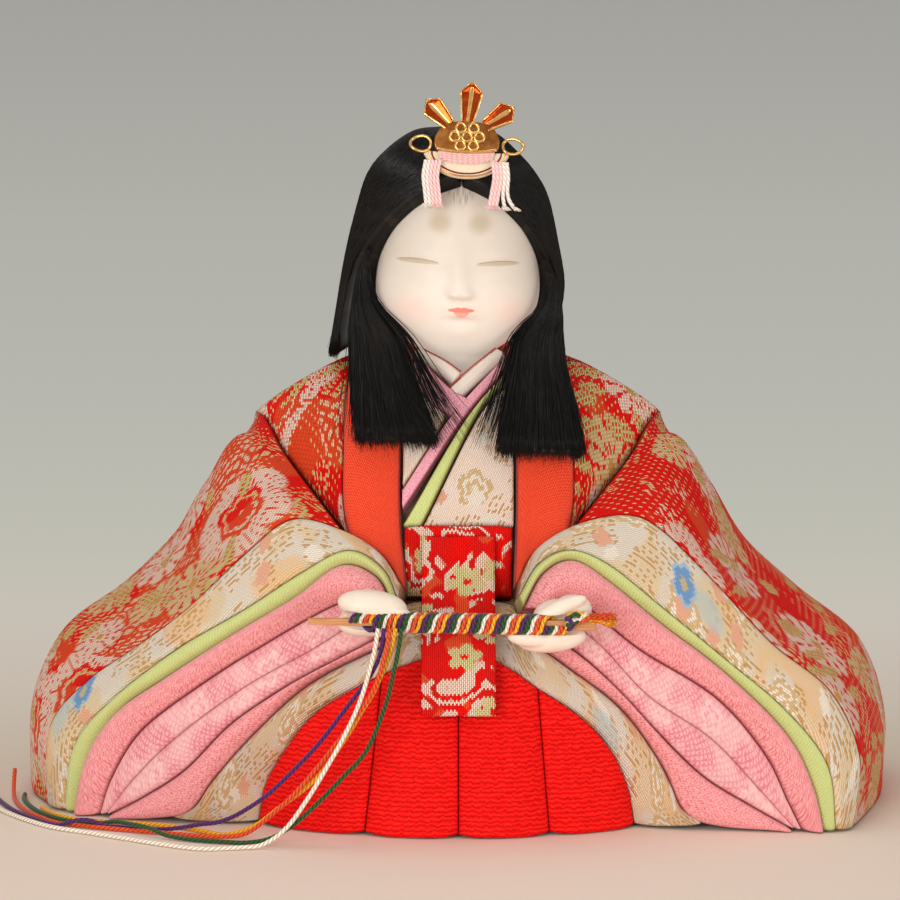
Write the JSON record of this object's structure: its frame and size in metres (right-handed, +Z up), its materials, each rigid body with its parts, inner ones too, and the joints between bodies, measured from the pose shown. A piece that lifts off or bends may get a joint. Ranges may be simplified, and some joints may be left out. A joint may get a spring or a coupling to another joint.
{
  "type": "hina doll",
  "caption": "Seated festival doll in layered silk robes, with a lift-off head and crown, and hands that hold a closed fan bound with trailing coloured cords.",
  "frame": {"origin": "centre of the robe's footprint on the table, under the doll", "axes": "+Z up; the doll faces -Y; +X is on the right of someone who looks at its face"},
  "size_m": [0.2518, 0.1592, 0.192],
  "materials": {
    "felt": "matt felt",
    "composition": "pressed sawdust and paste, unpainted",
    "red_brocade": "woven silk brocade",
    "cream_brocade": "woven silk and gilt thread brocade",
    "green_silk": "plain woven silk",
    "pink_crepe": "silk crepe",
    "pale_pink_crepe": "silk crepe",
    "wrapped_cord": "twisted silk cords",
    "orange_crepe": "silk crepe",
    "red_crepe": "silk crepe",
    "white_silk": "plain woven silk",
    "shell_white": "polished powdered shell over paste",
    "black_hair": "combed silk fibre",
    "gilt": "thin gilt brass sheet",
    "peg_wood": "plain softwood",
    "fan_wood": "thin cedar",
    "white_cord": "twisted silk cord",
    "purple_cord": "twisted silk cord",
    "red_cord": "twisted silk cord",
    "yellow_cord": "twisted silk cord",
    "green_cord": "twisted silk cord"
  },
  "bodies": {
    "torso": {"sleeve_cream_left": "cream_brocade", "sleeve_cream_right": "cream_brocade", "kimono_front_left": "cream_brocade", "kimono_front_right": "cream_brocade", "chest_panel_left": "cream_brocade", "chest_panel_right": "cream_brocade", "sleeve_green_left": "green_silk", "sleeve_green_right": "green_silk", "collar_green": "green_silk", "sleeve_roll_left": "pink_crepe", "sleeve_roll_right": "pink_crepe", "sleeve_hem_roll_left": "pink_crepe", "sleeve_hem_roll_right": "pink_crepe", "collar_pink": "pink_crepe", "sleeve_lining_left": "pale_pink_crepe", "sleeve_lining_right": "pale_pink_crepe", "jacket_back": "red_brocade", "sleeve_outer_left": "red_brocade", "sleeve_outer_right": "red_brocade", "jacket_front_left": "red_brocade", "jacket_front_right": "red_brocade", "obi_sash": "red_brocade", "sash_end": "red_brocade", "lapel_left": "orange_crepe", "lapel_right": "orange_crepe", "trouser_panel_1": "red_crepe", "trouser_panel_2": "red_crepe", "trouser_panel_3": "red_crepe", "trouser_panel_4": "red_crepe", "collar_white_left": "white_silk", "collar_white_right": "white_silk", "hand_left": "shell_white", "hand_right": "shell_white", "body_core": "composition", "base_felt": "felt"},
    "neck_peg": {"neck_peg": "peg_wood"},
    "head": {"head": "shell_white", "hair_left": "black_hair", "hair_right": "black_hair", "side_lock_left": "black_hair", "side_lock_right": "black_hair", "hair_back": "black_hair"},
    "crown": {"crown_pad": "cream_brocade", "crown_band": "pale_pink_crepe", "crown_plate": "gilt", "crown_rings": "gilt", "crown_loop_left": "gilt", "crown_loop_right": "gilt", "crown_ribbon_left": "pale_pink_crepe", "crown_ribbon_right": "pale_pink_crepe"},
    "fan": {"fan_blade_front": "fan_wood", "fan_blade_back": "fan_wood", "fan_cord_wrap": "wrapped_cord", "fan_cord_tail": "wrapped_cord", "cord_white": "white_cord", "cord_purple": "purple_cord", "cord_red": "red_cord", "cord_yellow": "yellow_cord", "cord_green": "green_cord"}
  },
  "joints": [
    {"name": "head_lift", "type": "slide", "parent": "torso", "child": "neck_peg", "axis": [0.0349, 0, 0.9994], "range_m": [0, 0.05], "deforming": ["side_lock_left", "side_lock_right", "hair_back"]},
    {"name": "head_turn", "type": "hinge", "parent": "neck_peg", "child": "head", "pos_m": [-0.001, 0, 0.112], "axis": [0.0349, 0, 0.9994], "range_deg": [-6, 6], "deforming": ["side_lock_left", "side_lock_right", "hair_back"]},
    {"name": "crown_lift", "type": "slide", "parent": "head", "child": "crown", "axis": [0.0349, 0, 0.9994], "range_m": [0, 0.03]},
    {"name": "fan_draw", "type": "slide", "parent": "torso", "child": "fan", "axis": [0, -1, 0], "range_m": [0, 0.04]}
  ]
}
